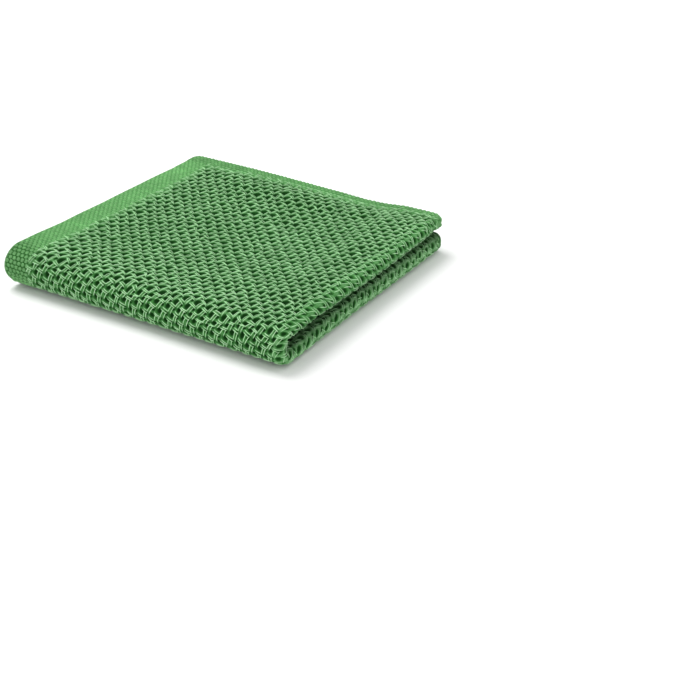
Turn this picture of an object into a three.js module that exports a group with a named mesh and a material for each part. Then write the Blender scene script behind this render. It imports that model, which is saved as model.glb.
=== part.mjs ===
// A square cotton honeycomb dishcloth, folded in half and in half again, lying flat.
// Millimetres, +X right, +Y back, +Z up. The origin is under the middle of the folded cloth, on the surface it lies on.
//
// The first fold runs along the right-hand side (+X): it makes a leaf of two layers, joined by a rounded crest.
// The second fold runs along the front (-Y): it turns that leaf over on itself, so an upper and a lower leaf lie on
// each other and the four free edges of each open side are at the left (-X) and at the back (+Y).
import * as THREE from "three";

// ---- Driving dimensions ----
const CLOTH_SIDE = 305; // the cloth laid out flat, hem to hem, both ways
const LAYER = 3.2; // one layer of the cloth over its honeycomb ridges
const HEM_LAYER = 2.9; // the plain band along the free edges
const HEM_WIDTH = 12; // how wide that band is
const FOLDED_WIDTH = 152.5; // left free edge to the first fold's crest
const FOLDED_DEPTH = 147; // the second fold's crest to the back free edge
const CREST_GAP = 5.2; // how far the two leaves stand apart inside the second fold
const REST_GAP = 0.45; // the least gap between two layers that lie on each other

// How far the two layers of a leaf stand apart, over REST_GAP: along the first fold's crest, from the front to the back.
const UPPER_SWELL = [
  { y: -74, swell: 0.15 },
  { y: -58, swell: 0.4 },
  { y: -20, swell: 1.0 },
  { y: 20, swell: 1.3 },
  { y: 74, swell: 0.9 },
];
const LOWER_SWELL = [
  { y: -74, swell: 0.15 },
  { y: -58, swell: 0.4 },
  { y: -36, swell: 2.0 },
  { y: -10, swell: 3.2 },
  { y: 30, swell: 3.5 },
  { y: 74, swell: 3.1 },
];
// The share of that swell that is left, going in from the first fold.
const CREST_FADE = [
  { x: -74, share: 0 },
  { x: 14, share: 0 },
  { x: 40, share: 0.42 },
  { x: 58, share: 0.95 },
  { x: 76, share: 1 },
];
// How far the leaves stand apart inside, over REST_GAP, as a share of the gap in the second fold, from front to back.
const FOLD_FADE = [
  { y: -76, share: 1 },
  { y: -60, share: 0.93 },
  { y: -45, share: 0.72 },
  { y: -28, share: 0.4 },
  { y: -8, share: 0.1 },
  { y: 6, share: 0 },
  { y: 76, share: 0 },
];
// The same at the left, where the second fold closes more slowly, and where that gives way to FOLD_FADE.
const LEFT_FADE = [
  { y: -76, share: 1 },
  { y: -58, share: 0.95 },
  { y: -30, share: 0.7 },
  { y: 0, share: 0.52 },
  { y: 30, share: 0.44 },
  { y: 76, share: 0.24 },
];
const LEFT_SIDE = { from: 16, to: -76 };
// What the swollen crest takes out of that gap, towards the first fold.
const FOLD_CLOSE = [
  { x: -76, share: 1 },
  { x: 20, share: 0.95 },
  { x: 50, share: 0.93 },
  { x: 76, share: 0.92 },
];
// The free edges don't press flat: every gap between two layers opens towards them.
const BACK_LIFT = [
  { y: -76, lift: 0 },
  { y: 22, lift: 0 },
  { y: 42, lift: 0.45 },
  { y: 58, lift: 1.15 },
  { y: 76, lift: 1.4 },
];
const LEFT_LIFT = [
  { x: -76, lift: 1.0 },
  { x: -60, lift: 0.78 },
  { x: -35, lift: 0.42 },
  { x: -8, lift: 0.06 },
  { x: 4, lift: 0 },
  { x: 76, lift: 0 },
];
// How far the left free edge of each layer ends beyond the nominal side: at its lower back corner, at the second fold
// and at its upper back corner.
const LEFT_EDGE = [
  { layer: "outer", lower: -0.6, fold: 0.1, upper: 2.4 },
  { layer: "inner", lower: -1.6, fold: -0.9, upper: 1.2 },
];
const NOSE = { bulge: 1.4, reach: 8.5 }; // the left free edge bulges where it goes round the second fold
// How far the back free edge of each leaf ends beyond the nominal side: in the inner layer at the left, at the first
// fold and in the outer layer at the left.
const BACK_EDGE = [
  { leaf: "upper", inner: 0.7, fold: -4.6, outer: 0.5 },
  { leaf: "lower", inner: 0.2, fold: -5.4, outer: -1.4 },
];
// How far the first fold's crest strays outwards at its back end.
const CREST_FLARE = { upper: 1.6, lower: 2.2 };
// A slow wave along each free edge: how far it strays and how many waves there are.
const EDGE_WAVE = { reach: 0.22, backWaves: 1.6, leftWaves: 1.3 };
const CORNER = 6; // radius of the cloth's four corners
const CREST_END = { reach: 8, pull: 2.4 }; // the back end of the first fold's crest is drawn in: over what way, how far

// How many steps the surface takes along each stretch: round a crest, over the flat and in the band at a free edge.
const STEPS = { crest: 4, bend: 6, flat: 10, band: 3 };

// ---- Small helpers ----
const smooth = (k) => k * k * (3 - 2 * k);
const clamped = (k) => Math.min(1, Math.max(0, k));

// Reads a short table: eases from one row's value to the next.
function read(table, key, value, at) {
  if (at <= table[0][key]) return table[0][value];
  for (let i = 1; i < table.length; i++) {
    const a = table[i - 1],
      b = table[i];
    if (at <= b[key]) {
      const k = (at - a[key]) / (b[key] - a[key]);
      return a[value] + (b[value] - a[value]) * smooth(k);
    }
  }
  return table[table.length - 1][value];
}

const RIGHT = FOLDED_WIDTH / 2; // the first fold's crest, outside
const LEFT = -FOLDED_WIDTH / 2;
const FRONT = -FOLDED_DEPTH / 2; // the second fold's crest, outside
const BACK = FOLDED_DEPTH / 2;

// The distance between the middles of the two layers in a leaf.
function layerPitch(x, y, upper) {
  const swell = read(upper ? UPPER_SWELL : LOWER_SWELL, "y", "swell", y) * read(CREST_FADE, "x", "share", x);
  const lift = Math.max(read(BACK_LIFT, "y", "lift", y), read(LEFT_LIFT, "x", "lift", x));
  const nearCrest = read(CREST_FADE, "x", "share", x);
  return LAYER + REST_GAP + Math.max(swell, lift * (1 - 0.5 * nearCrest));
}

// The gap between the two leaves.
function leafGap(x, y) {
  const atLeft = smooth(clamped((LEFT_SIDE.from - x) / (LEFT_SIDE.from - LEFT_SIDE.to)));
  const nearFold = read(FOLD_FADE, "y", "share", y);
  const share = nearFold + (read(LEFT_FADE, "y", "share", y) - nearFold) * atLeft;
  const open = (CREST_GAP - REST_GAP) * share * read(FOLD_CLOSE, "x", "share", x);
  const lift = Math.max(read(BACK_LIFT, "y", "lift", y), read(LEFT_LIFT, "x", "lift", x));
  return REST_GAP + Math.max(open, lift * 1.1);
}

// A point past the start of a rounded corner, moved in so that the square corner becomes a round one.
function rounded(a, b, half) {
  const u = (a - (half - CORNER)) / CORNER,
    v = (b - (half - CORNER)) / CORNER;
  if (u <= 0 || v <= 0) return [a, b];
  return [half - CORNER + CORNER * u * Math.sqrt(1 - (v * v) / 2), half - CORNER + CORNER * v * Math.sqrt(1 - (u * u) / 2)];
}

// Where a point of the cloth's middle surface lies. across runs from the first fold's crest, positive in the outer
// layer and negative in the inner one; along runs from the second fold's crest, positive in the upper leaf.
function place(across, along) {
  const outer = across >= 0,
    upper = along >= 0,
    half = CLOTH_SIDE / 2;
  const [a, b] = rounded(Math.abs(across), Math.abs(along), half);
  const leftRow = LEFT_EDGE[outer ? 0 : 1],
    backRow = BACK_EDGE[upper ? 0 : 1];

  // The nominal place along Y, to read the tables with.
  const yGuess = Math.min(BACK, FRONT + 9 + Math.max(0, b - 12));

  // Across the first fold: half a turn of the crest, then straight in to the free edge.
  const crestR = layerPitch(RIGHT, yGuess, upper) / 2;
  const flare = (upper ? CREST_FLARE.upper : CREST_FLARE.lower) * smooth(clamped((yGuess - FRONT - 14) / (BACK - FRONT - 14)));
  const crestX = RIGHT + flare - LAYER / 2 - crestR;
  const quarter = (Math.PI / 2) * crestR;
  const leftWave = Math.sin((b / half) * EDGE_WAVE.leftWaves * 2 * Math.PI + (outer ? 0.4 : 2.1) + (upper ? 0 : 1.3));
  const leftOver = leftRow.fold + ((upper ? leftRow.upper : leftRow.lower) - leftRow.fold) * smooth(b / half);
  const bulge = NOSE.bulge * Math.exp(-((b / NOSE.reach) ** 2));
  const leftEnd = LEFT - leftOver - bulge + EDGE_WAVE.reach * leftWave * smooth(Math.min(1, b / 30));
  let x, n;
  if (a < quarter) {
    x = crestX + crestR * Math.cos(a / crestR);
    n = crestR * Math.sin(a / crestR);
  } else {
    x = crestX + ((leftEnd - crestX) * (a - quarter)) / (half - quarter);
    n = layerPitch(x, yGuess, upper) / 2;
  }
  if (!outer) n = -n;

  // Along the second fold: half a turn round its inside, then straight back to the free edge.
  const centreY = FRONT + LAYER / 2 + (leafGap(0, FRONT) + LAYER + 2 * layerPitch(0, FRONT, true)) / 2;
  const leaf = layerPitch(x, centreY, upper) + LAYER; // the leaf's thickness where the bend ends
  const centreZ = leaf + leafGap(x, centreY) / 2;
  const fromLeaf = a < quarter ? n : ((outer ? 1 : -1) * layerPitch(x, centreY, upper)) / 2;
  const r = (leafGap(x, centreY) + leaf) / 2 + fromLeaf;
  const bend = (Math.PI / 2) * r;
  const backWave = Math.sin((a / half) * EDGE_WAVE.backWaves * 2 * Math.PI + (upper ? 0.9 : 2.4) + (outer ? 0 : 1.7));
  const backOver = backRow.fold + ((outer ? backRow.outer : backRow.inner) - backRow.fold) * smooth(a / half);
  const drawnIn = CREST_END.pull * Math.max(0, 1 - a / CREST_END.reach) ** 2;
  const backEnd = BACK + backOver - drawnIn + EDGE_WAVE.reach * backWave * smooth(Math.min(1, a / 30));
  if (b < bend) {
    const turn = b / r;
    return [x, centreY - r * Math.cos(turn), centreZ + (upper ? 1 : -1) * r * Math.sin(turn)];
  }
  const y = centreY + ((backEnd - centreY) * (b - bend)) / (half - bend);
  const pitch = layerPitch(x, y, upper),
    thick = pitch + LAYER;
  const lowerThick = layerPitch(x, y, false) + LAYER;
  const nn = a < quarter ? n : ((outer ? 1 : -1) * pitch) / 2;
  return [x, y, upper ? lowerThick + leafGap(x, y) + thick / 2 + nn : thick / 2 - nn];
}

// ---- The surface ----
// Where the samples lie: close together round a crest and in the band at a free edge, wider apart on the flat.
function samples(turn, turnSteps) {
  const half = CLOTH_SIDE / 2,
    inner = half - HEM_WIDTH,
    side = [];
  for (let i = 1; i <= turnSteps; i++) side.push((turn * i) / turnSteps);
  for (let i = 1; i <= STEPS.flat; i++) side.push(turn + ((inner - turn) * i) / STEPS.flat);
  for (let i = 1; i <= STEPS.band; i++) side.push(inner + (HEM_WIDTH * i) / STEPS.band);
  return [...side.map((v) => -v).reverse(), 0, ...side];
}

const half = CLOTH_SIDE / 2;
const S = samples(4.6, STEPS.crest);
const T = samples(13.5, STEPS.bend);

// The layer's own thickness, thinner in the plain band along the free edges.
function thicknessAt(across, along) {
  const fromEdge = Math.min(half - Math.abs(across), half - Math.abs(along));
  const k = Math.min(1, Math.max(0, fromEdge / HEM_WIDTH));
  return HEM_LAYER + (LAYER - HEM_LAYER) * smooth(k);
}

function buildCloth() {
  const columns = S.length,
    rows = T.length;
  const h = 0.4; // step of the numerical slopes
  const top = [],
    bottom = [];
  for (const t of T)
    for (const s of S) {
      const p = new THREE.Vector3(...place(s, t));
      const ds = new THREE.Vector3(...place(Math.min(half, s + h), t)).sub(new THREE.Vector3(...place(Math.max(-half, s - h), t)));
      const dt = new THREE.Vector3(...place(s, Math.min(half, t + h))).sub(new THREE.Vector3(...place(s, Math.max(-half, t - h))));
      const normal = new THREE.Vector3().crossVectors(dt, ds).normalize();
      const w = thicknessAt(s, t) / 2;
      top.push(p.clone().addScaledVector(normal, w));
      bottom.push(p.clone().addScaledVector(normal, -w));
    }
  const positions = [];
  for (const v of top) positions.push(v.x, v.y, v.z);
  for (const v of bottom) positions.push(v.x, v.y, v.z);
  const base = columns * rows;
  const index = [];
  const quad = (a, b, c, d) => index.push(a, b, c, a, c, d);
  for (let j = 0; j < rows - 1; j++)
    for (let i = 0; i < columns - 1; i++) {
      const a = j * columns + i,
        b = a + 1,
        c = a + columns + 1,
        d = a + columns;
      quad(a, d, c, b);
      quad(base + a, base + b, base + c, base + d);
    }
  for (let i = 0; i < columns - 1; i++) {
    const f = i,
      g = (rows - 1) * columns + i;
    quad(f, f + 1, base + f + 1, base + f);
    quad(g, base + g, base + g + 1, g + 1);
  }
  for (let j = 0; j < rows - 1; j++) {
    const f = j * columns,
      g = j * columns + columns - 1;
    quad(f, base + f, base + f + columns, f + columns);
    quad(g, g + columns, base + g + columns, base + g);
  }
  const geometry = new THREE.BufferGeometry();
  geometry.setAttribute("position", new THREE.Float32BufferAttribute(positions, 3));
  geometry.setIndex(index);
  // The origin stays under the middle of the folded cloth, on the surface it lies on.
  geometry.computeBoundingBox();
  const box = geometry.boundingBox;
  geometry.translate(-(box.min.x + box.max.x) / 2, -(box.min.y + box.max.y) / 2, -box.min.z);
  geometry.computeVertexNormals();
  return geometry;
}

const cloth = new THREE.Mesh(
  buildCloth(),
  new THREE.MeshStandardMaterial({ color: 0x5f9f63, roughness: 0.95, metalness: 0, side: THREE.DoubleSide }),
);
cloth.name = "cloth";

const dishcloth = new THREE.Group();
dishcloth.add(cloth);

export default dishcloth;
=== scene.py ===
"""A square green cotton honeycomb dishcloth, folded in half and in half again, lying flat.

Metres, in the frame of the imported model. The cloth's own coordinates are in millimetres: across runs from the first
fold's crest (positive in the outer layer, negative in the inner one), along runs from the second fold's crest
(positive in the upper leaf, negative in the lower one).
"""

import math

import bpy
import numpy as np
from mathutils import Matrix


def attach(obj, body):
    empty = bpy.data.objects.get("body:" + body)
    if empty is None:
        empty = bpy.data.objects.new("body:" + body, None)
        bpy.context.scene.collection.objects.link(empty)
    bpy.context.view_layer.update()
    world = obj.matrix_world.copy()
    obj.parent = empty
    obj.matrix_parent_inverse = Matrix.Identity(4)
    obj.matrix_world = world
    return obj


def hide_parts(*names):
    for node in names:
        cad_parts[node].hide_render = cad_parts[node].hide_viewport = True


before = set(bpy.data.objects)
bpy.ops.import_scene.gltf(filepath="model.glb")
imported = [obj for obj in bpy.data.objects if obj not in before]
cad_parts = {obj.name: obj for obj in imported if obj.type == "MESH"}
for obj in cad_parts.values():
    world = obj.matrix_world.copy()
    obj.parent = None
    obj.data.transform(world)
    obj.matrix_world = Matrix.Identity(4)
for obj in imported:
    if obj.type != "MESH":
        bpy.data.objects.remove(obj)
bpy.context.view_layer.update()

MM = 0.001

# ---- The folded shape, as in the part's own source, in millimetres ----
CLOTH_SIDE = 305.0
HALF = CLOTH_SIDE / 2
LAYER = 3.2
FOLDED_WIDTH = 152.5
FOLDED_DEPTH = 147.0
CREST_GAP = 5.2
REST_GAP = 0.45
RIGHT, LEFT = FOLDED_WIDTH / 2, -FOLDED_WIDTH / 2
FRONT, BACK = -FOLDED_DEPTH / 2, FOLDED_DEPTH / 2


def eased(rows):
    """A short table of (place, value) rows as a function that eases from one row to the next."""
    xs = np.array([r[0] for r in rows], float)
    ys = np.array([r[1] for r in rows], float)

    def at(x):
        x = np.asarray(x, float)
        i = np.clip(np.searchsorted(xs, x, side="right") - 1, 0, len(xs) - 2)
        k = np.clip((x - xs[i]) / (xs[i + 1] - xs[i]), 0, 1)
        return ys[i] + (ys[i + 1] - ys[i]) * k * k * (3 - 2 * k)

    return at


def smooth(k):
    k = np.clip(k, 0, 1)
    return k * k * (3 - 2 * k)


crest_swell_upper = eased([(-74, 0.15), (-58, 0.4), (-20, 1.0), (20, 1.3), (74, 0.9)])
crest_swell_lower = eased([(-74, 0.15), (-58, 0.4), (-36, 2.0), (-10, 3.2), (30, 3.5), (74, 3.1)])
crest_fade = eased([(-74, 0), (14, 0), (40, 0.42), (58, 0.95), (76, 1)])
fold_fade = eased([(-76, 1), (-60, 0.93), (-45, 0.72), (-28, 0.4), (-8, 0.1), (6, 0), (76, 0)])
left_fade = eased([(-76, 1), (-58, 0.95), (-30, 0.70), (0, 0.52), (30, 0.44), (76, 0.24)])
fold_close = eased([(-76, 1), (20, 0.95), (50, 0.93), (76, 0.92)])
back_lift = eased([(-76, 0), (22, 0), (42, 0.45), (58, 1.15), (76, 1.4)])
left_lift = eased([(-76, 1.0), (-60, 0.78), (-35, 0.42), (-8, 0.06), (4, 0), (76, 0)])
# How far the free edges end beyond the nominal sides: at the far end of one leaf or layer, at the fold, at the other.
LEFT_EDGE = dict(outer=(-0.6, 0.1, 2.4), inner=(-1.6, -0.9, 1.2))  # lower, second fold, upper
BACK_EDGE = dict(upper=(0.7, -4.6, 0.5), lower=(0.2, -5.4, -1.4))  # inner, first fold, outer
CREST_FLARE = dict(upper=1.6, lower=2.2)
NOSE = dict(bulge=1.4, reach=8.5)
EDGE_WAVE = dict(reach=0.22, back_waves=1.6, left_waves=1.3)
CORNER = 6.0
CREST_END = dict(reach=8.0, pull=2.4)


def layer_pitch(x, y, upper):
    swell = np.where(upper, crest_swell_upper(y), crest_swell_lower(y)) * crest_fade(x)
    lift = np.maximum(back_lift(y), left_lift(x))
    return LAYER + REST_GAP + np.maximum(swell, lift * (1 - 0.5 * crest_fade(x)))


def leaf_gap(x, y):
    from_left = smooth((16 - x) / 92)
    opening = (CREST_GAP - REST_GAP) * (fold_fade(y) + (left_fade(y) - fold_fade(y)) * from_left) * fold_close(x)
    lift = np.maximum(back_lift(y), left_lift(x))
    return REST_GAP + np.maximum(opening, lift * 1.1)


def rounded(a, b):
    u, v = (a - (HALF - CORNER)) / CORNER, (b - (HALF - CORNER)) / CORNER
    at_corner = (u > 0) & (v > 0)
    uc, vc = np.clip(u, 0, 1), np.clip(v, 0, 1)
    a2 = HALF - CORNER + CORNER * uc * np.sqrt(1 - vc * vc / 2)
    b2 = HALF - CORNER + CORNER * vc * np.sqrt(1 - uc * uc / 2)
    return np.where(at_corner, a2, a), np.where(at_corner, b2, b)


def place(across, along):
    """The middle surface, in millimetres."""
    across, along = np.broadcast_arrays(np.asarray(across, float), np.asarray(along, float))
    outer, upper = across >= 0, along >= 0
    a, b = rounded(np.abs(across), np.abs(along))
    y_guess = np.minimum(BACK, FRONT + 9 + np.maximum(0, b - 12))
    flare = np.where(upper, CREST_FLARE["upper"], CREST_FLARE["lower"]) * smooth((y_guess - FRONT - 14) / (BACK - FRONT - 14))
    crest_r = layer_pitch(RIGHT, y_guess, upper) / 2
    crest_x = RIGHT + flare - LAYER / 2 - crest_r
    quarter = np.pi / 2 * crest_r
    left_wave = np.sin(b / HALF * EDGE_WAVE["left_waves"] * 2 * np.pi + np.where(outer, 0.4, 2.1) + np.where(upper, 0, 1.3))
    lower_end, at_fold, upper_end = (np.where(outer, LEFT_EDGE["outer"][i], LEFT_EDGE["inner"][i]) for i in range(3))
    left_over = at_fold + (np.where(upper, upper_end, lower_end) - at_fold) * smooth(b / HALF)
    left_over = left_over + NOSE["bulge"] * np.exp(-((b / NOSE["reach"]) ** 2))
    left_end = LEFT - left_over + EDGE_WAVE["reach"] * left_wave * smooth(b / 30)
    on_crest = a < quarter
    x = np.where(on_crest, crest_x + crest_r * np.cos(a / crest_r), crest_x + (left_end - crest_x) * (a - quarter) / (HALF - quarter))
    n = np.where(on_crest, crest_r * np.sin(a / crest_r), layer_pitch(x, y_guess, upper) / 2)
    n = np.where(outer, n, -n)

    centre_y = FRONT + LAYER / 2 + (leaf_gap(0, FRONT) + LAYER + 2 * layer_pitch(0, FRONT, True)) / 2
    leaf = layer_pitch(x, centre_y, upper) + LAYER
    centre_z = leaf + leaf_gap(x, centre_y) / 2
    side_of_layer = np.where(outer, 1.0, -1.0)
    from_leaf = np.where(on_crest, n, side_of_layer * layer_pitch(x, centre_y, upper) / 2)
    r = (leaf_gap(x, centre_y) + leaf) / 2 + from_leaf
    bend = np.pi / 2 * r
    back_wave = np.sin(a / HALF * EDGE_WAVE["back_waves"] * 2 * np.pi + np.where(upper, 0.9, 2.4) + np.where(outer, 0, 1.7))
    inner_end, at_crest, outer_end = (np.where(upper, BACK_EDGE["upper"][i], BACK_EDGE["lower"][i]) for i in range(3))
    back_over = at_crest + (np.where(outer, outer_end, inner_end) - at_crest) * smooth(a / HALF)
    drawn_in = CREST_END["pull"] * np.maximum(0, 1 - a / CREST_END["reach"]) ** 2
    back_end = BACK + back_over - drawn_in + EDGE_WAVE["reach"] * back_wave * smooth(a / 30)
    turn = b / r
    side = np.where(upper, 1.0, -1.0)
    bending = b < bend
    y = np.where(bending, centre_y - r * np.cos(turn), centre_y + (back_end - centre_y) * (b - bend) / (HALF - bend))
    lower_thick = layer_pitch(x, y, False) + LAYER
    pitch = layer_pitch(x, y, upper)
    nn = np.where(on_crest, n, side_of_layer * pitch / 2)
    z_flat = np.where(upper, lower_thick + leaf_gap(x, y) + (pitch + LAYER) / 2 + nn, lower_thick / 2 - nn)
    z = np.where(bending, centre_z + side * r * np.sin(turn), z_flat)
    return np.stack([x, y, z], -1)


def slopes(across, along, h=0.4):
    across, along = np.broadcast_arrays(np.asarray(across, float), np.asarray(along, float))
    ds = place(np.minimum(HALF, across + h), along) - place(np.maximum(-HALF, across - h), along)
    dt = place(across, np.minimum(HALF, along + h)) - place(across, np.maximum(-HALF, along - h))
    return ds, dt


def normal(across, along, h=0.4):
    ds, dt = slopes(across, along, h)
    n = np.cross(dt, ds)
    return n / np.linalg.norm(n, axis=-1, keepdims=True)


# The part's source moves the cloth so that its origin is under its middle. The same samples give the same move.
def samples(turn, turn_steps):
    inner = HALF - 12
    side = np.concatenate(
        [turn * np.arange(1, turn_steps + 1) / turn_steps, turn + (inner - turn) * np.arange(1, 11) / 10, inner + 12 * np.arange(1, 4) / 3]
    )
    return np.concatenate([-side[::-1], [0], side])


def cad_move():
    s, t = np.meshgrid(samples(4.6, 4), samples(13.5, 6))
    from_edge = np.clip(np.minimum(HALF - np.abs(s), HALF - np.abs(t)) / 12, 0, 1)
    w = (2.9 + 0.3 * smooth(from_edge)) / 2
    p, n = place(s, t), normal(s, t)
    both = np.concatenate([p + n * w[..., None], p - n * w[..., None]]).reshape(-1, 3)
    low, high = both.min(0), both.max(0)
    return np.array([-(low[0] + high[0]) / 2, -(low[1] + high[1]) / 2, -low[2]]), low, high


MOVE, low_mm, high_mm = cad_move()

# ---- The weave: a honeycomb with two large and two small hollows in each repeat ----
# Weave coordinates are in millimetres too, with straight rows: u counts the repeats across and v those along, and the
# large hollows lie where both are whole or both are half. weave_to_cloth() says how far the rows lie from straight in
# the cloth.
REPEAT_ACROSS, REPEAT_ALONG = 6.27, 7.28
FIRST_ACROSS, FIRST_ALONG = 5.09, 2.96
SIDE_BAND, END_BAND = 14.4, 8.0  # the plain bands: along the left free edges, and along the back ones
STRAY_TERMS = [(0, 0), (0, 1), (0, 2), (0, 3), (1, 0), (1, 1), (1, 2), (2, 0), (2, 1), (3, 0)]
STRAY_ACROSS = [0.60, 2.44, 0.32, 0.42, 0.28, -0.35, 2.09, -1.85, -2.10, -4.22]
STRAY_ALONG = [0.34, 1.18, 1.11, 0.24, -2.49, -1.84, 2.37, -0.39, -0.84, -0.74]
fold_crowding = eased([(-60, 4.4), (-9, 4.4), (-5.2, 4.2), (-1.5, 3.5), (2.1, 2.4), (5.7, 1.1), (9.4, 0.5), (14, 0), (60, 0)])


def wander(rng, across, along, reach):
    """A slow uneven drift, as in a cloth that has been handled."""
    out = 0
    for wave in (9.0, 13.0, 19.0, 27.0):
        for _ in range(3):
            w = rng.uniform(0, 2 * math.pi)
            k = 2 * math.pi / (wave * rng.uniform(0.85, 1.2))
            out = out + np.sin(k * (math.cos(w) * across + math.sin(w) * along) + rng.uniform(0, 2 * math.pi))
    return reach * out / math.sqrt(6)


def weave_to_cloth(across, along):
    across, along = np.broadcast_arrays(np.asarray(across, float), np.asarray(along, float))
    x, y = (np.clip(across, 2, 142) - 76) / 76, (np.clip(along, 12, 144) - 76) / 76
    ds = sum(k * x**a * y**b for k, (a, b) in zip(STRAY_ACROSS, STRAY_TERMS))
    dt = sum(k * x**a * y**b for k, (a, b) in zip(STRAY_ALONG, STRAY_TERMS))
    rng = np.random.default_rng(3)
    inside_s = smooth((HALF - SIDE_BAND - np.abs(across)) / 16)
    inside_t = smooth((HALF - END_BAND - np.abs(along)) / 16)
    keep = inside_s * inside_t * smooth((across + 40) / 40) * smooth((along + 60) / 40)
    loose = smooth((HALF - 4 - np.abs(across)) / 12) * smooth((HALF - 4 - np.abs(along)) / 12)
    crowd = fold_crowding(along) * smooth((along + 70) / 50)
    ds = ds * keep + wander(rng, across, along, 0.30) * loose
    dt = dt * keep + wander(rng, across, along, 0.34) * loose
    return across + ds, along + dt + crowd


def uv_of(across, along):
    return (across - FIRST_ACROSS) / REPEAT_ACROSS, (along - FIRST_ALONG) / REPEAT_ALONG


# The large hollows lie at (0, 0) and (1/2, 1/2), the small ones at (1/2, 0) and (0, 1/2). Under each large one runs a
# bundle of weft floats and beside it one of warp floats; between the hollows the other way is a lower band.
WEFT = dict(centres=[(0.60, 0.17), (0.10, 0.67)], tilt=math.radians(25), reach=1.75)
WARP = dict(centres=[(0.15, 0.36), (0.65, 0.86)], tilt=math.radians(108), reach=1.95)
LARGE_AT = [(0, 0), (1, 0), (0, 1), (1, 1), (0.5, 0.5)]
SMALL_AT = [(0.47, 0), (-0.53, 0), (0.97, 0.5), (-0.03, 0.5), (0.47, 1), (-0.53, 1)]
GROUND, CREST = 0.92, 0.04  # the bands' height over the middle surface, and how much higher the ridges are
# At the folds the cloth is drawn over the edge: its strands part there, and the hollows are smaller. Each hollow's
# depth, then its reach across and along at the folds and on the flat top.
LARGE_DEPTH, LARGE_FOLD, LARGE_TOP = 1.30, (0.98, 1.12), (1.48, 1.70)
SMALL_DEPTH, SMALL_FOLD, SMALL_TOP = 1.05, (1.02, 0.98), (0.76, 0.70)


def on_top(across, along):
    """1 on the flat top, 0 round the folds."""
    return smooth((along - 4) / 8) * smooth((across - 2) / 6)


def honeycomb_height(u, v, top, crest):
    """The outer face's height over the middle surface in the honeycomb, in millimetres."""
    rise = np.zeros_like(u)
    for kind in (WEFT, WARP):
        c, s = math.cos(kind["tilt"]), math.sin(kind["tilt"])
        for cu, cv in kind["centres"]:
            for iu in (-1, 0, 1):
                for iv in (-1, 0, 1):
                    x = ((u % 1) - cu - iu) * REPEAT_ACROSS
                    y = ((v % 1) - cv - iv) * REPEAT_ALONG
                    a, b = x * c + y * s, -x * s + y * c
                    rise = np.maximum(rise, np.exp(-((a / kind["reach"]) ** 4) - (b / 0.62) ** 2))
    h = GROUND + CREST * rise
    for centres, depth, fold, flat in ((LARGE_AT, LARGE_DEPTH, LARGE_FOLD, LARGE_TOP), (SMALL_AT, SMALL_DEPTH, SMALL_FOLD, SMALL_TOP)):
        size = [(a + (b - a) * top) * (1 - 0.15 * crest) for a, b in zip(fold, flat)]
        for cu, cv in centres:
            x, y = ((u % 1) - cu) * REPEAT_ACROSS / size[0], ((v % 1) - cv) * REPEAT_ALONG / size[1]
            h = h - depth * np.exp(-((x * x + y * y) ** 1.9)) * (1 - 0.4 * rise)
    return h


def end_band(s):
    """The back band's width: it widens towards the left corner."""
    return 5.4 + (END_BAND - 5.4) * smooth((s - 85) / 55) - 1.6 * smooth((26 - s) / 22)


def plain_share(s, t):
    """1 in the plain bands, 0 in the honeycomb. The honeycomb grows shallow over its last row."""
    a, b = np.abs(s), np.abs(t)
    return np.maximum(smooth((a - (HALF - SIDE_BAND) + 3.4) / 4.4), smooth((b - (HALF - end_band(s)) + 5.5) / 6.5))


PLAIN = 1.08  # the plain band's ground over the middle surface; its bumps rise from it
BASE = 1.5  # the side it lies on
HIDDEN = 1.2  # where layer lies on layer


def worked(s, t):
    """1 where the outer face shows its weave, 0 where it lies on the floor or between the leaves."""
    shown = smooth((s + 10.5) / 2.0)
    lying = smooth((-t - 19) / 5) * smooth((s - 6) / 4)
    return shown * (1 - lying), lying


def outer_height(across, along):
    """Takes weave coordinates."""
    u, v = uv_of(across, along)
    k = plain_share(across, along)
    h = honeycomb_height(u, v, on_top(across, along), smooth((7 - across) / 4)) * (1 - k) + PLAIN * k
    shown, lying = worked(across, along)
    return h * shown + (1 - shown) * (BASE * lying + HIDDEN * (1 - lying))


def inner_height(across, along):
    return np.full(np.shape(across), -1.42)


def mesh_object(name, verts_mm, faces, attributes=None, uvs=None):
    """faces is a list of index arrays, each of one face size; uvs a list of arrays with a pair for each face corner."""
    mesh = bpy.data.meshes.new(name)
    verts = (np.asarray(verts_mm, float).reshape(-1, 3) + MOVE) * MM
    faces = [np.asarray(f, np.int32) for f in faces if len(f)]
    counts = np.concatenate([np.full(len(f), f.shape[1], np.int32) for f in faces])
    loops = np.concatenate([f.ravel() for f in faces])
    starts = np.concatenate([[0], np.cumsum(counts)[:-1]]).astype(np.int32)
    mesh.vertices.add(len(verts))
    mesh.vertices.foreach_set("co", verts.astype(np.float32).ravel())
    mesh.loops.add(len(loops))
    mesh.loops.foreach_set("vertex_index", loops)
    mesh.polygons.add(len(counts))
    mesh.polygons.foreach_set("loop_start", starts)
    mesh.polygons.foreach_set("loop_total", counts)
    mesh.polygons.foreach_set("use_smooth", np.ones(len(counts), bool))
    for key, value in (attributes or {}).items():
        value = np.asarray(value, np.float32)
        kind = "FLOAT" if value.ndim == 1 else "FLOAT_VECTOR"
        attribute = mesh.attributes.new(key, kind, "POINT")
        attribute.data.foreach_set("value" if value.ndim == 1 else "vector", value.ravel())
    mesh.update(calc_edges=True)
    if uvs is not None:
        layer = mesh.uv_layers.new(name="OFBake")
        layer.data.foreach_set("uv", np.concatenate([np.asarray(x, np.float32).reshape(-1, 2) for x in uvs]).ravel())
    mesh.validate(verbose=False)
    ob = bpy.data.objects.new(name, mesh)
    bpy.context.scene.collection.objects.link(ob)
    return ob


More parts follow.
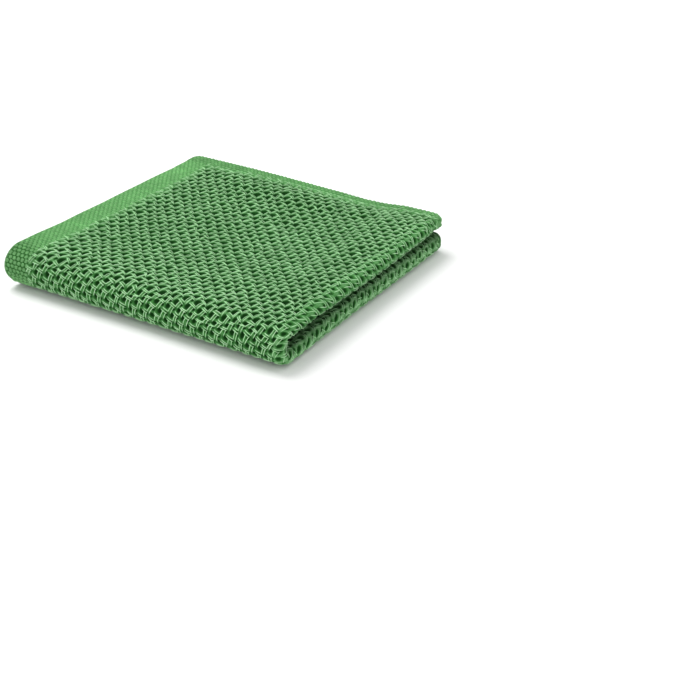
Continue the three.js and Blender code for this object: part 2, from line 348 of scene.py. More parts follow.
def stretch(parts):
    """Grid lines from (start, end, spacing) parts."""
    out = [parts[0][0]]
    for a, b, step in parts:
        n = max(1, round((b - a) / step))
        out += list(a + (b - a) * np.arange(1, n + 1) / n)
    return np.array(out)


def weave_lines(start, end, repeat, first, parts):
    """Grid lines that keep step with the weave, from start to end."""
    step = repeat / parts
    lo, hi = math.ceil((start - first) / step + 0.3), math.floor((end - first) / step - 0.3)
    return np.concatenate([[start], first + step * np.arange(lo, hi + 1), [end]])


def zip_sides(a_index, a_param, b_index, b_param):
    """Triangles between two rows of points with rising parameters."""
    out, i, j = [], 0, 0
    while i < len(a_index) - 1 or j < len(b_index) - 1:
        step_a = j == len(b_index) - 1 or (i < len(a_index) - 1 and a_param[i + 1] <= b_param[j + 1])
        if step_a:
            out.append((a_index[i], a_index[i + 1], b_index[j]))
            i += 1
        else:
            out.append((a_index[i], b_index[j + 1], b_index[j]))
            j += 1
    return np.array(out, np.int32)


RIM = 1.1  # how far inside the edge the rim's rounding starts
NEAR_S, NEAR_T = -9.0, -19.0  # where the closely worked part of the outer face starts


def make_cloth():
    end_s, end_t = HALF - SIDE_BAND, HALF - END_BAND
    hidden_s = [stretch([(-HALF, -HALF + 6, 2.0), (-HALF + 6, NEAR_S - 9, 9.0), (NEAR_S - 9, NEAR_S, 1.8)])[:-1]]
    upper_s = np.concatenate(
        hidden_s + [weave_lines(NEAR_S, end_s, REPEAT_ACROSS, FIRST_ACROSS, 11), stretch([(end_s, HALF, 0.95)])[1:]]
    )
    upper_t = np.concatenate([weave_lines(NEAR_T, end_t, REPEAT_ALONG, FIRST_ALONG, 10), stretch([(end_t, HALF, 0.86)])[1:]])
    lower_s = np.concatenate(
        hidden_s + [weave_lines(NEAR_S, 11, REPEAT_ACROSS, FIRST_ACROSS, 10), stretch([(11, HALF - 6, 8.0), (HALF - 6, HALF, 2.0)])[1:]]
    )
    lower_t = np.concatenate([stretch([(-HALF, -end_t, 0.95)])[:-1], weave_lines(-end_t, NEAR_T - 0.7, REPEAT_ALONG, FIRST_ALONG, 9)])
    coarse_s = stretch([(-HALF, -HALF + 12, 2.4), (-HALF + 12, -12, 7.0), (-12, 12, 1.6), (12, HALF - 12, 7.0), (HALF - 12, HALF, 2.4)])
    coarse_t = stretch([(-HALF, -HALF + 10, 2.4), (-HALF + 10, -20, 7.0), (-20, 20, 2.0), (20, HALF - 10, 7.0), (HALF - 10, HALF, 2.4)])
    verts, faces, flat, lift, weave = [], [], [], [], []
    base = 0

    def add(p, s, t, h, a, b):
        nonlocal base
        verts.append(p.reshape(-1, 3))
        flat.append(np.stack([s, t], -1).reshape(-1, 2))
        weave.append(np.stack(uv_of(a, b), -1).reshape(-1, 2))
        lift.append(np.broadcast_to(h, p.shape[:-1]).reshape(-1))
        start = base
        base += len(verts[-1])
        return start + np.arange(s.size).reshape(s.shape)

    k_in = (HALF - RIM) / HALF
    grids, kinds = {}, []
    for name, ss, tt, height in (
        ("upper", upper_s, upper_t, outer_height),
        ("lower", lower_s, lower_t, outer_height),
        ("in", coarse_s, coarse_t, inner_height),
    ):
        a, b = np.meshgrid(ss * k_in, tt * k_in)
        s, t = weave_to_cloth(a, b)
        n, h = normal(s, t), height(a, b)
        idx = add(place(s, t) + n * h[..., None], s, t, h, a, b)
        q = np.stack([idx[:-1, :-1], idx[:-1, 1:], idx[1:, 1:], idx[1:, :-1]], -1).reshape(-1, 4)
        faces.append(q if name == "in" else q[:, ::-1])
        kinds.append("in" if name == "in" else "out")
        grids[name] = idx
    upper, lower, inner = grids["upper"], grids["lower"], grids["in"]
    faces.append(zip_sides(lower[-1], lower_s, upper[0], upper_s)[:, ::-1])
    kinds.append("out")
    # The rim: half a turn from the outer face to the inner one, all the way round.
    arc = 5
    side_t = np.concatenate([lower_t, upper_t])
    ns, nt, nb = len(lower_s), len(side_t), len(upper_s)
    loop_a = np.concatenate([lower_s, np.full(nt - 1, HALF), upper_s[::-1][1:], np.full(nt - 2, -HALF)]) * k_in
    loop_b = np.concatenate([np.full(ns, -HALF), side_t[1:], np.full(nb - 1, HALF), side_t[::-1][1:-1]]) * k_in
    right = np.concatenate([lower[:, -1], upper[:, -1]])
    left = np.concatenate([lower[:, 0], upper[:, 0]])
    o_loop = np.concatenate([lower[0], right[1:], upper[-1][::-1][1:], left[::-1][1:-1]])
    loop_s, loop_t = weave_to_cloth(loop_a, loop_b)
    p, n = place(loop_s, loop_t), normal(loop_s, loop_t)
    ds, dt = slopes(loop_s, loop_t)
    e = HALF * k_in - 1e-6
    away = ds * (np.where(loop_a > e, 1, 0) - np.where(loop_a < -e, 1, 0))[:, None]
    away = away + dt * (np.where(loop_b > e, 1, 0) - np.where(loop_b < -e, 1, 0))[:, None]
    run = np.roll(p, -1, 0) - np.roll(p, 1, 0)
    out = np.cross(run, n)
    out /= np.maximum(np.linalg.norm(out, axis=1, keepdims=True), 1e-9)
    out *= np.sign((out * away).sum(1))[:, None]
    h_out, h_in = outer_height(loop_a, loop_b), inner_height(loop_a, loop_b)
    mid, rad = (h_out + h_in) / 2, (h_out - h_in) / 2
    rows = [o_loop]
    for i in range(1, arc):
        w = math.pi * i / arc
        ring = p + n * (mid + rad * math.cos(w))[:, None] + out * (RIM * math.sin(w))
        rows.append(add(ring, loop_s, loop_t, PLAIN, loop_a, loop_b))
    rim_uv = []
    steps = len(loop_s)
    y0, y1 = np.arange(steps) / steps, np.arange(1, steps + 1) / steps
    for i, (a, b) in enumerate(zip(rows[:-1], rows[1:])):
        faces.append(np.stack([b, np.roll(b, -1), np.roll(a, -1), a], -1))
        kinds.append("rim")
        x0, x1 = (np.full(steps, 0.806 + 0.010 * j / arc) for j in (i, i + 1))
        rim_uv.append(np.stack([np.stack(c, -1) for c in ((x1, y0), (x1, y1), (x0, y1), (x0, y0))], 1))
    # The last ring joins the inner face's edge, side by side.
    closed = np.append(rows[-1], rows[-1][0])
    at = [0, ns - 1, ns + nt - 2, ns + nt + nb - 3, ns + 2 * nt + nb - 4]
    inner_rows = [
        (inner[0], coarse_s, lower_s),
        (inner[:, -1], coarse_t, side_t),
        (inner[-1][::-1], -coarse_s[::-1], -upper_s[::-1]),
        (inner[:, 0][::-1], -coarse_t[::-1], -side_t[::-1]),
    ]
    for i, (i_index, i_par, o_par) in enumerate(inner_rows):
        faces.append(zip_sides(closed[at[i] : at[i + 1] + 1], o_par, i_index, i_par)[:, ::-1])
        kinds.append("in")
    flat, lift, weave = np.concatenate(flat), np.concatenate(lift), np.concatenate(weave)
    # Where each face corner goes on the baked picture: the outer face with its worked part large, the inner face small.
    far_s = np.interp(flat[:, 0], [-HALF, NEAR_S - 2, 12, HALF], [0.005, 0.045, 0.165, 0.797])
    far_t = np.interp(flat[:, 1], [-HALF, NEAR_T, HALF], [0.005, 0.245, 0.995])
    near_s = np.interp(flat[:, 0], [-HALF, HALF], [0.825, 0.995])
    near_t = np.interp(flat[:, 1], [-HALF, HALF], [0.005, 0.995])
    uvs, rim_uv = [], iter(rim_uv)
    for kind, f in zip(kinds, faces):
        if kind == "rim":
            uvs.append(next(rim_uv))
        else:
            uvs.append(np.stack([far_s[f], far_t[f]] if kind == "out" else [near_s[f], near_t[f]], -1))
    zero = np.zeros((len(flat), 1))
    plain = plain_share(flat[:, 0], flat[:, 1])
    close = worked(flat[:, 0], flat[:, 1])[0]
    close[inner.ravel()] = 0
    return mesh_object(
        "dishcloth",
        np.concatenate(verts),
        faces,
        {"flat": np.concatenate([flat, zero], 1), "weave": np.concatenate([weave, zero], 1), "lift": lift, "plain": plain, "close": close},
        uvs,
    )


def tubes(name, paths, normals, radii, sides, attributes):
    """Closed strands of yarn. paths and normals are (strands, points, 3), radii (strands, points)."""
    m, k, _ = paths.shape
    tangent = np.gradient(paths, axis=1)
    tangent /= np.maximum(np.linalg.norm(tangent, axis=-1, keepdims=True), 1e-9)
    b = np.cross(tangent, normals)
    b /= np.maximum(np.linalg.norm(b, axis=-1, keepdims=True), 1e-9)
    n = np.cross(b, tangent)
    turns = np.array([0, 0.25, 0.5, -0.25]) if sides == 4 else np.array([0, 0.29, -0.29])
    w = 2 * np.pi * turns
    ring = paths[:, :, None] + radii[:, :, None, None] * (n[:, :, None] * np.cos(w)[None, None, :, None] + b[:, :, None] * np.sin(w)[None, None, :, None])
    verts = ring.reshape(-1, 3)
    idx = np.arange(m * k * sides).reshape(m, k, sides)
    nxt = np.roll(idx, -1, axis=2)
    quads = np.stack([idx[:, :-1], nxt[:, :-1], nxt[:, 1:], idx[:, 1:]], -1)
    caps = [idx[:, 0, ::-1], idx[:, -1]]
    spread = {key: np.repeat(np.asarray(v).reshape(m * k, -1), sides, axis=0).squeeze() for key, v in attributes.items()}
    # Each ring corner's lift, which the floats' greens follow: painted shade, darker down a strand's sides than on its
    # top.
    spread["lift"] = spread["lift"] + (radii[:, :, None] * np.cos(w)).ravel()
    length = np.concatenate([np.zeros((m, 1)), np.cumsum(np.linalg.norm(np.diff(paths, axis=1), axis=-1), axis=1)], 1)
    twist = np.stack([np.repeat(length.reshape(m * k), sides), np.tile(turns, m * k), np.zeros(m * k * sides)], -1)
    spread["twist"] = twist
    # Each strand has its own small field on the baked picture.
    cols = math.ceil(math.sqrt(m))
    field = 1.0 / cols
    ox, oy = (np.arange(m) % cols) * field, (np.arange(m) // cols) * field
    gx = (0.08 + 0.76 * np.arange(k) / (k - 1)) * field
    gy = (0.08 + 0.84 * np.arange(sides + 1) / sides) * field
    x0, x1 = ox[:, None, None] + gx[None, :-1, None], ox[:, None, None] + gx[None, 1:, None]
    y0, y1 = oy[:, None, None] + gy[None, None, :-1], oy[:, None, None] + gy[None, None, 1:]
    x0, x1, y0, y1 = np.broadcast_arrays(x0, x1, y0, y1)
    quad_uv = np.stack([np.stack([x0, y0], -1), np.stack([x0, y1], -1), np.stack([x1, y1], -1), np.stack([x1, y0], -1)], -2)
    cap_uv = []
    for base in (0.87, 0.93):
        corners = np.array([(0, 0), (1, 0), (1, 1), (0, 1)][:sides], float) * 0.04 * field
        cap_uv.append(np.stack([ox, oy], -1)[:, None] + np.array([base, 0.4]) * field + corners[None])
    faces = [quads.reshape(-1, 4)[:, ::-1], caps[0][:, ::-1], caps[1][:, ::-1]]
    return mesh_object(name, verts, faces, spread, [quad_uv.reshape(-1, 4, 2)[:, ::-1], cap_uv[0], cap_uv[1]])


def strand(rng, across, along, angle, length, height, points, sink, radius):
    """Strands on the honeycomb: middles in weave millimetres, their direction and length, and how high they lie."""
    a = np.linspace(-0.5, 0.5, points)
    bow = 0.12 * rng.normal(0, 1, len(across))[:, None] * (1 - 4 * a * a)
    c, s = np.cos(angle)[:, None], np.sin(angle)[:, None]
    x = across[:, None] + c * a * length[:, None] - s * bow
    y = along[:, None] + s * a * length[:, None] + c * bow
    h = height[:, None] - sink[:, None] * np.abs(2 * a) ** 3
    cs, ct = weave_to_cloth(x, y)
    cs, ct = np.clip(cs, -HALF + 1, HALF - 1), np.clip(ct, -HALF + 1, HALF - 1)
    n = normal(cs, ct)
    lying = smooth((-y - 11) / 6) * smooth((x - 2) / 5)
    h = h - (h - np.minimum(h, BASE - radius[:, None])) * lying
    p = place(cs, ct) + n * h[..., None]
    shade = np.repeat(rng.uniform(0, 1, len(across))[:, None], points, 1)
    return p, n, h, np.repeat(radius[:, None], points, 1), cs, ct, shade


def bundle_places(centres, reach=0.4):
    nu = np.arange(math.floor(-HALF / REPEAT_ACROSS) - 1, math.ceil(HALF / REPEAT_ACROSS) + 2)
    nv = np.arange(math.floor(-HALF / REPEAT_ALONG) - 1, math.ceil(HALF / REPEAT_ALONG) + 2)
    cells = np.array([(iu + cu, iv + cv) for cu, cv in centres for iu in nu for iv in nv])
    x, y = FIRST_ACROSS + cells[:, 0] * REPEAT_ACROSS, FIRST_ALONG + cells[:, 1] * REPEAT_ALONG
    keep = (x < HALF - SIDE_BAND + reach) & (np.abs(y) < HALF - end_band(x) + reach)
    keep &= (x > -9.5) & ((y > NEAR_T - 3) | (x < 8.5))
    return x[keep], y[keep]


# Each bundle's strands, at the folds and on the flat top: how far beside its middle, how long, how high over the middle
# surface, and how thick.
WEFT_STRANDS = [
    dict(beside=(-0.62, -0.10), length=(4.2, 5.5), height=(1.28, 1.28), radius=(0.15, 0.155)),
    dict(beside=(0.62, 0.62), length=(4.2, 4.6), height=(1.28, 1.20), radius=(0.15, 0.14)),
]
WARP_STRANDS = [
    dict(beside=(-0.74, -0.70), length=(4.6, 4.2), height=(1.26, 1.12), radius=(0.15, 0.13)),
    dict(beside=(0.74, 0.05), length=(4.8, 5.0), height=(1.26, 1.25), radius=(0.15, 0.155)),
]
# Single short floats on the lower bands.
WEFT_SINGLE, WARP_SINGLE = [(0.02, 0.27), (0.52, 0.77)], [(0.27, 0.02), (0.77, 0.52)]


def make_floats():
    """The honeycomb's floats, in bundles of two, and single short ones on the lower bands."""
    rng = np.random.default_rng(7)
    parts = {"weft": [], "warp": [], "low": []}
    for label, kind, strands in (("weft", WEFT, WEFT_STRANDS), ("warp", WARP, WARP_STRANDS)):
        x0, y0 = bundle_places(kind["centres"])
        c, s = math.cos(kind["tilt"]), math.sin(kind["tilt"])
        flat = on_top(x0, y0)
        for row in strands:
            beside, length, height, radius = (a + (b - a) * flat for a, b in (row[q] for q in ("beside", "length", "height", "radius")))
            radius = radius * (1 - 0.22 * smooth((7 - x0) / 4))
            j = rng.normal(0, 1, (len(x0), 5))
            x, y = x0 - s * beside + 0.07 * j[:, 0], y0 + c * beside + 0.07 * j[:, 1]
            angle = kind["tilt"] + np.radians(4) * j[:, 2]
            args = (length * (1 + 0.06 * j[:, 3]), np.minimum(height + 0.05 * j[:, 4], 1.36), 7, 0.60 - 0.22 * flat, radius)
            parts[label].append(strand(rng, x, y, angle, *args))
    for centres, tilt in ((WEFT_SINGLE, WEFT["tilt"]), (WARP_SINGLE, WARP["tilt"])):
        x0, y0 = bundle_places(centres)
        j = rng.normal(0, 1, (len(x0), 5))
        x, y, angle = x0 + 0.08 * j[:, 0], y0 + 0.08 * j[:, 1], tilt + np.radians(5) * j[:, 2]
        parts["low"].append(strand(rng, x, y, angle, 2.0 * (1 + 0.08 * j[:, 3]), 0.90 + 0.05 * j[:, 4], 5, np.full(len(x), 0.4), np.full(len(x), 0.14)))
    made = []
    for label, sides in (("weft", 4), ("warp", 4), ("low", 3)):
        lists = parts[label]
        by_points = {}
        for q in lists:
            by_points.setdefault(q[0].shape[1], []).append(q)
        for points, group in by_points.items():
            p, n, h, r, cs, ct, shade = (np.concatenate([q[i] for q in group]) for i in range(7))
            half = (len(p) + 1) // 2 if len(p) * ((points - 1) * sides * 2 + 2 * (sides - 2)) > 190000 else len(p)
            for k in range(0, len(p), half):
                w = slice(k, k + half)
                name = f"floats_{label}_{len(made) + 1}"
                made.append(tubes(name, p[w], n[w], r[w], sides, {"flat": np.stack([cs[w], ct[w], 0 * cs[w]], -1), "lift": h[w], "shade": shade[w]}))
    return made


BUMP_ACROSS, BUMP_ALONG = 2.35, 1.82  # the plain band's short floats, every other row set over by half


def make_band():
    """The plain band's short floats, three strands to a bump."""
    rng = np.random.default_rng(11)
    ns, nt = int(HALF / BUMP_ACROSS) + 2, int(HALF / BUMP_ALONG) + 2
    i, j = np.meshgrid(np.arange(-8, ns), np.arange(-nt, nt))
    x = (i + 0.5 * (j % 2)) * BUMP_ACROSS
    y = j * BUMP_ALONG * 1.0
    x, y = x.ravel(), y.ravel()
    edge = 1.3
    in_side = (x > HALF - SIDE_BAND + 0.4) & (x < HALF - edge) & (y > -22)
    in_end = (y > HALF - end_band(x) + 0.4) & (x > -9) & (x < HALF - edge)
    keep = (in_side | in_end) & (y < HALF - edge + 0.3)
    x, y = x[keep], y[keep]
    parts = []
    for k, length in ((-1, 1.9), (0, 2.15), (1, 1.9)):
        g = rng.normal(0, 1, (len(x), 5))
        points = 5
        a = np.linspace(-0.5, 0.5, points)
        angle = np.radians(6 + 3 * g[:, 0])[:, None]
        ln = (length * (1 + 0.05 * g[:, 1]))[:, None]
        s = x[:, None] + 0.06 * g[:, 2][:, None] + np.cos(angle) * a * ln
        t = y[:, None] + 0.50 * k + 0.05 * g[:, 3][:, None] + np.sin(angle) * a * ln
        s, t = np.clip(s, -HALF + 0.7, HALF - 0.7), np.clip(t, -HALF + 0.7, HALF - 0.7)
        h = PLAIN + (0.17 - 0.05 * abs(k)) + 0.02 * g[:, 4][:, None] - 0.42 * np.abs(2 * a) ** 3
        n = normal(s, t)
        h = np.minimum(h, np.where(t < -14, BASE - 0.27, 9))
        shade = np.repeat(rng.uniform(0, 1, len(x))[:, None], points, 1)
        parts.append((place(s, t) + n * h[..., None], n, h, np.full(h.shape, 0.27), s, t, shade))
    p, n, h, r, cs, ct, shade = (np.concatenate([part[q] for part in parts]) for q in range(7))
    return tubes("floats_band", p, n, r, 3, {"flat": np.stack([cs, ct, 0 * cs], -1), "lift": h, "shade": shade})


cloth = make_cloth()
floats = make_floats()
band = make_band()


# ---- Materials ----
def material(name):
    m = bpy.data.materials.new(name)
    m.use_nodes = True
    m.node_tree.nodes.clear()
    return m, m.node_tree


class Graph:
    def __init__(self, nt):
        self.nt = nt

    def new(self, kind, **values):
        node = self.nt.nodes.new(kind)
        for key, value in values.items():
            setattr(node, key, value)
        return node

    def link(self, a, b):
        self.nt.links.new(a, b)

    def value(self, node, socket, x):
        if isinstance(x, bpy.types.NodeSocket):
            self.link(x, node.inputs[socket])
        else:
            node.inputs[socket].default_value = x

    def maths(self, op, a, b=None, c=None, clamp=False):
        node = self.new("ShaderNodeMath", operation=op, use_clamp=clamp)
        for i, x in enumerate((a, b, c)):
            if x is not None:
                self.value(node, i, x)
        return node.outputs[0]

    def between(self, x, low, high):
        """0 at low, 1 at high, eased."""
        node = self.new("ShaderNodeMapRange", interpolation_type="SMOOTHSTEP")
        self.link(x, node.inputs["Value"])
        node.inputs["From Min"].default_value = low
        node.inputs["From Max"].default_value = high
        return node.outputs["Result"]

    def ramp(self, fac, stops):
        node = self.new("ShaderNodeValToRGB")
        els = node.color_ramp.elements
        while len(els) < len(stops):
            els.new(0.5)
        for el, (pos, col) in zip(els, stops):
            el.position, el.color = pos, (*col, 1)
        self.link(fac, node.inputs[0])
        return node.outputs[0]

    def noise(self, vector, scale, detail=2.0, rough=0.5):
        node = self.new("ShaderNodeTexNoise")
        node.inputs["Scale"].default_value = scale
        node.inputs["Detail"].default_value = detail
        node.inputs["Roughness"].default_value = rough
        self.link(vector, node.inputs["Vector"])
        return node.outputs["Fac"]

    def attribute(self, name, output):
        return self.new("ShaderNodeAttribute", attribute_name=name).outputs[output]

    def split(self, vector):
        node = self.new("ShaderNodeSeparateXYZ")
        self.link(vector, node.inputs[0])
        return node.outputs[0], node.outputs[1]

    def mix(self, fac, a, b, blend="MIX"):
        node = self.new("ShaderNodeMix", data_type="RGBA", blend_type=blend)
        node.clamp_factor = True
        self.value(node, 0, fac)
        for i, x in ((6, a), (7, b)):
            if isinstance(x, bpy.types.NodeSocket):
                self.link(x, node.inputs[i])
            else:
                node.inputs[i].default_value = (*x, 1)
        return node.outputs[2]

    def brighter(self, colour, factor):
        node = self.new("ShaderNodeHueSaturation")
        self.link(colour, node.inputs["Color"])
        self.link(factor, node.inputs["Value"])
        # No cloth reflects more than it receives.
        held = self.new("ShaderNodeMix", data_type="RGBA", blend_type="DARKEN")
        held.inputs[0].default_value = 1.0
        self.link(node.outputs[0], held.inputs[6])
        held.inputs[7].default_value = (0.61, 0.94, 0.58, 1)
        return held.outputs[2]


# The greens follow the height, lower darker: DEEP and LOW are painted shade in the hollows, LIGHT painted light on the
# floats' tops.
DEEP = (0.008, 0.060, 0.008)
LOW = (0.035, 0.155, 0.032)
MIDDLE = (0.062, 0.235, 0.057)
LIGHT = (0.465, 0.82, 0.435)
# The plain band's greens, darker between its bumps than on them: painted shade.
BAND_LOW = (0.075, 0.26, 0.07)
BAND_TOP = (0.20, 0.48, 0.18)
# The nose, at the front fold's left end, in darker greens: painted shade.
NOSE_LOW = (0.022, 0.115, 0.020)
NOSE_TOP = (0.20, 0.465, 0.18)


def painted_gap_shade(g, s, t):
    """Painted shade: 1 outside, less in the gap between the leaves, where light hardly reaches, and on the lower leaf
    just under it, where the upper leaf's shadow falls.
    """
    under = g.maths("MULTIPLY", g.between(s, 0.6, -4.4), g.between(t, 7, -1))
    inside = g.maths("MULTIPLY", g.between(s, -2.0, -7.0), g.between(g.maths("ABSOLUTE", t), HALF - 6, HALF - 26))
    shade = g.maths("MULTIPLY", g.maths("MAXIMUM", under, inside), g.between(s, -100, -40))
    return g.maths("MULTIPLY_ADD", shade, -0.55, 1.0)


def finish(g, colour, height, distance, strength):
    out = g.new("ShaderNodeOutputMaterial")
    bsdf = g.new("ShaderNodeBsdfPrincipled")
    g.link(bsdf.outputs[0], out.inputs[0])
    g.link(colour, bsdf.inputs["Base Color"])
    bsdf.inputs["Roughness"].default_value = 0.9
    bsdf.inputs["Specular IOR Level"].default_value = 0.06
    bsdf.inputs["Sheen Weight"].default_value = 0.05
    bsdf.inputs["Sheen Roughness"].default_value = 0.5
    bump = g.new("ShaderNodeBump")
    bump.inputs["Strength"].default_value = strength
    bump.inputs["Distance"].default_value = distance
    g.link(height, bump.inputs["Height"])
    g.link(bump.outputs[0], bsdf.inputs["Normal"])


def ground_cotton():
    """The cloth itself, under and between the floats."""
    m, nt = material("cotton_honeycomb")
    g = Graph(nt)
    flat, lift = g.attribute("flat", "Vector"), g.attribute("lift", "Fac")
    plain, close = g.attribute("plain", "Fac"), g.attribute("close", "Fac")
    u, v = g.split(g.attribute("weave", "Vector"))
    s, t = g.split(flat)
    # Hollows from the weave's own count: +1 in the large ones, -1 in the small ones.
    cu = g.maths("COSINE", g.maths("MULTIPLY", u, 2 * math.pi))
    cv = g.maths("COSINE", g.maths("MULTIPLY", v, 2 * math.pi))
    both = g.maths("MULTIPLY", cu, cv)
    charted = g.maths("SUBTRACT", 1.0, g.maths("MAXIMUM", g.between(both, 0.1, 0.85), g.maths("MULTIPLY", g.between(both, -0.45, -0.95), 0.7)))
    # Painted shade: the lower the surface, the darker its green; where the face is not closely worked, the hollows
    # charted from the weave are painted dark.
    from_lift = g.maths("MULTIPLY_ADD", lift, 1 / 1.6, -0.1 / 1.6, clamp=True)
    x = g.maths("ADD", g.maths("MULTIPLY", from_lift, close), g.maths("MULTIPLY", charted, g.maths("SUBTRACT", 1.0, close)))
    # Painted light: the flat top and the first fold's crest a little lighter.
    top = g.maths("MULTIPLY", g.between(t, 4, 14), g.between(s, 2, 9))
    crest = g.between(s, 9, 2)
    painted_light = g.maths("ADD", g.maths("MULTIPLY", top, 0.16), g.maths("MULTIPLY", crest, g.maths("MULTIPLY_ADD", g.between(t, -2, -12), 0.035, 0.055)))
    x = g.maths("ADD", x, g.maths("MULTIPLY", painted_light, g.between(x, 0.2, 0.5)))
    x = g.maths("ADD", x, g.maths("MULTIPLY", g.maths("MULTIPLY", g.between(t, 14, 5), 0.035), g.between(x, 0.4, 0.55)))
    colour = g.ramp(x, [(0.16, DEEP), (0.43, LOW), (0.55, MIDDLE), (0.85, LIGHT)])
    # The plain band: rows of short floats, every other row set over by half.
    row = g.maths("MULTIPLY", t, 1 / BUMP_ALONG)
    odd = g.maths("MODULO", g.maths("ABSOLUTE", g.maths("ROUND", row)), 2.0)
    bx = g.maths("COSINE", g.maths("MULTIPLY", g.maths("SUBTRACT", g.maths("MULTIPLY", s, 1 / BUMP_ACROSS), g.maths("MULTIPLY", odd, 0.5)), 2 * math.pi))
    by = g.maths("COSINE", g.maths("MULTIPLY", row, 2 * math.pi))
    bumps = g.maths("MULTIPLY", g.maths("MULTIPLY_ADD", bx, 0.5, 0.5), g.maths("MULTIPLY_ADD", by, 0.5, 0.5))
    # The turned hem's rim is smoother than the band.
    rim = g.maths("MAXIMUM", g.between(g.maths("ABSOLUTE", s), HALF - 2.4, HALF - 1.0), g.between(g.maths("ABSOLUTE", t), HALF - 2.4, HALF - 1.0))
    rim = g.maths("MULTIPLY", rim, 0.75)
    bumps = g.maths("ADD", g.maths("MULTIPLY", bumps, g.maths("SUBTRACT", 1.0, rim)), g.maths("MULTIPLY", rim, 0.42))
    # Painted shade: the band darker between its bumps.
    band_colour = g.ramp(bumps, [(0.0, BAND_LOW), (0.55, BAND_TOP)])
    # Painted shade: the band darker towards the nose.
    band_colour = g.mix(g.between(t, 26, 8), band_colour, g.ramp(bumps, [(0.0, NOSE_LOW), (0.7, NOSE_TOP)]))
    colour = g.mix(plain, colour, band_colour)
    fibre = g.noise(flat, 3.2, 3.0, 0.6)
    slow = g.noise(flat, 0.05, 2.0, 0.5)
    yarn_u = g.maths("SINE", g.maths("MULTIPLY", u, 2 * math.pi * 12))
    yarn_v = g.maths("SINE", g.maths("MULTIPLY", v, 2 * math.pi * 12))
    yarns = g.maths("MULTIPLY_ADD", g.maths("MAXIMUM", yarn_u, yarn_v), 0.5, 0.5)
    tone = g.maths("MULTIPLY_ADD", g.maths("SUBTRACT", slow, 0.5), 0.25, 1.0)
    tone = g.maths("MULTIPLY", tone, g.maths("MULTIPLY_ADD", g.maths("SUBTRACT", fibre, 0.5), 0.5, 1.0))
    tone = g.maths("MULTIPLY", tone, g.maths("MULTIPLY_ADD", yarns, 0.35, 0.78))
    # Painted shade: the hollows a little darker towards the front.
    painted_hollow_shade = g.maths("MULTIPLY", g.maths("MULTIPLY", g.between(t, 55, 12), g.between(x, 0.5, 0.2)), g.maths("SUBTRACT", 1.0, plain))
    painted_hollow_shade = g.maths("MULTIPLY", painted_hollow_shade, g.maths("SUBTRACT", 1.0, crest))
    tone = g.maths("MULTIPLY", tone, g.maths("MULTIPLY_ADD", painted_hollow_shade, -0.22, 1.0))
    # Painted shade: a little darker along the back edge.
    tone = g.maths("MULTIPLY", tone, g.maths("MULTIPLY_ADD", g.between(t, HALF - 13, HALF - 6), -0.14, 1.0))
    # Painted shade in the gap between the leaves and just under the upper leaf.
    tone = g.maths("MULTIPLY", tone, painted_gap_shade(g, s, t))
    height = g.maths("ADD", g.maths("MULTIPLY", yarns, 0.7), g.maths("ADD", g.maths("MULTIPLY", fibre, 0.4), g.maths("MULTIPLY", bumps, g.maths("MULTIPLY", plain, 1.5))))
    finish(g, g.brighter(colour, tone), height, 0.00018, 0.6)
    return m


def yarn_cotton(name, low, high, stops, nose_stops=None):
    """The floats: lighter the higher they lie, painted shade and painted light by height, with the yarn's twist."""
    m, nt = material(name)
    g = Graph(nt)
    flat, lift, shade = g.attribute("flat", "Vector"), g.attribute("lift", "Fac"), g.attribute("shade", "Fac")
    length, turn = g.split(g.attribute("twist", "Vector"))
    height = g.maths("MULTIPLY_ADD", lift, 1 / (high - low), -low / (high - low), clamp=True)
    colour = g.ramp(height, stops)
    s, t = g.split(flat)
    # Painted shade: darker towards the nose.
    if nose_stops:
        colour = g.mix(g.between(t, 26, 8), colour, g.ramp(height, nose_stops))
    ply = g.maths("SINE", g.maths("MULTIPLY", g.maths("ADD", g.maths("MULTIPLY", length, 1.35), turn), 2 * math.pi))
    fibre = g.noise(flat, 5.0, 3.0, 0.6)
    slow = g.noise(flat, 0.05, 2.0, 0.5)
    tone = g.maths("MULTIPLY_ADD", g.maths("SUBTRACT", slow, 0.5), 0.25, 1.0)
    tone = g.maths("MULTIPLY", tone, g.maths("MULTIPLY_ADD", g.maths("SUBTRACT", fibre, 0.5), 0.3, 1.0))
    tone = g.maths("MULTIPLY", tone, g.maths("MULTIPLY_ADD", shade, 0.4, 0.8))
    tone = g.maths("MULTIPLY", tone, g.maths("MULTIPLY_ADD", ply, 0.08, 1.0))
    # Painted shade: a little darker along the back edge.
    tone = g.maths("MULTIPLY", tone, g.maths("MULTIPLY_ADD", g.between(t, HALF - 13, HALF - 6), -0.14, 1.0))
    # Painted shade in the gap between the leaves and just under the upper leaf.
    tone = g.maths("MULTIPLY", tone, painted_gap_shade(g, s, t))
    # Painted light: the floats lighter towards the front and over the first fold's crest.
    if not nose_stops:
        tone = g.maths("MULTIPLY", tone, g.maths("MULTIPLY_ADD", g.maths("MAXIMUM", g.between(t, 50, 8), g.between(s, 12, 4)), 0.20, 1.03))
    height = g.maths("ADD", g.maths("MULTIPLY", ply, 0.5), fibre)
    finish(g, g.brighter(colour, tone), height, 0.00006, 0.6)
    return m


cloth.data.materials.append(ground_cotton())
yarn = yarn_cotton("cotton_floats", 0.1, 1.6, [(0.25, DEEP), (0.46, LOW), (0.60, MIDDLE), (0.79, LIGHT)])
band_yarn = yarn_cotton("cotton_band", 0.8, 1.25, [(0.0, BAND_LOW), (1.0, BAND_TOP)], [(0.2, NOSE_LOW), (1.0, NOSE_TOP)])
for ob in floats:
    ob.data.materials.append(yarn)
band.data.materials.append(band_yarn)

pieces = [cloth, *floats, band]
for ob in pieces:
    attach(ob, "root")
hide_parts("cloth")

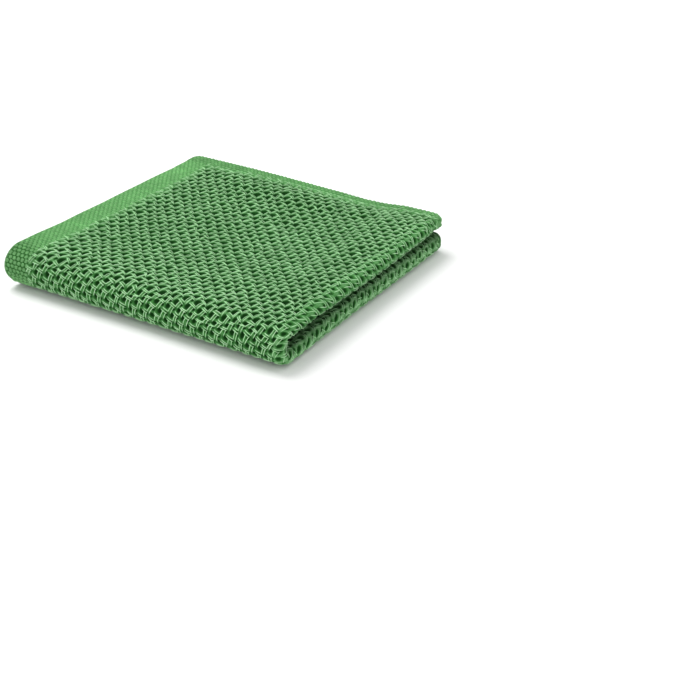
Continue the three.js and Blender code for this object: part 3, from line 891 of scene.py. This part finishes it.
# ---- Floor, light and camera ----
floor_mesh = bpy.data.meshes.new("floor")
floor_mesh.from_pydata([(-3, -3, 0), (3, -3, 0), (3, 3, 0), (-3, 3, 0)], [], [(0, 1, 2, 3)])
floor = bpy.data.objects.new("floor", floor_mesh)
bpy.context.scene.collection.objects.link(floor)
fm, fnt = material("floor_white")
fg = Graph(fnt)
fo, fb = fg.new("ShaderNodeOutputMaterial"), fg.new("ShaderNodeBsdfPrincipled")
fb.inputs["Base Color"].default_value = (0.94, 0.94, 0.94, 1)
fb.inputs["Roughness"].default_value = 0.9
fb.inputs["Specular IOR Level"].default_value = 0.1
fg.link(fb.outputs[0], fo.inputs[0])
floor_mesh.materials.append(fm)

world = bpy.data.worlds.new("studio")
bpy.context.scene.world = world
world.use_nodes = True
world.node_tree.nodes["Background"].inputs[0].default_value = (1, 1, 1, 1)
world.node_tree.nodes["Background"].inputs[1].default_value = 0.85


def area(name, place_at, target, size, power):
    data = bpy.data.lights.new(name, "AREA")
    data.shape = "DISK"
    data.size = size
    data.energy = power
    ob = bpy.data.objects.new(name, data)
    bpy.context.scene.collection.objects.link(ob)
    ob.location = place_at
    from mathutils import Vector

    ob.rotation_mode = "QUATERNION"
    ob.rotation_quaternion = (Vector(target) - Vector(place_at)).to_track_quat("-Z", "Y")
    return ob


area("key", (-0.5, 0.1, 1.0), (0, 0, 0), 0.7, 8.0)

camera_data = bpy.data.cameras.new("camera")
camera = bpy.data.objects.new("camera", camera_data)
bpy.context.scene.collection.objects.link(camera)
CAM_AZ, CAM_PITCH, CAM_F = math.radians(31.38), math.radians(29.28), 1217.7
camera_data.sensor_fit = "HORIZONTAL"
camera_data.sensor_width = 36.0
camera_data.lens = CAM_F / 679 * 36.0
camera_data.clip_start, camera_data.clip_end = 0.01, 20
camera.location = (0.3190, -0.4258, 0.2574)
camera.rotation_mode = "XYZ"
camera.rotation_euler = (math.pi / 2 - CAM_PITCH, 0, CAM_AZ)
bpy.context.scene.camera = camera
bpy.context.scene.view_settings.view_transform = "Standard"
bpy.context.scene.view_settings.look = "None"

for ob in pieces:
    ob.data.calc_loop_triangles()
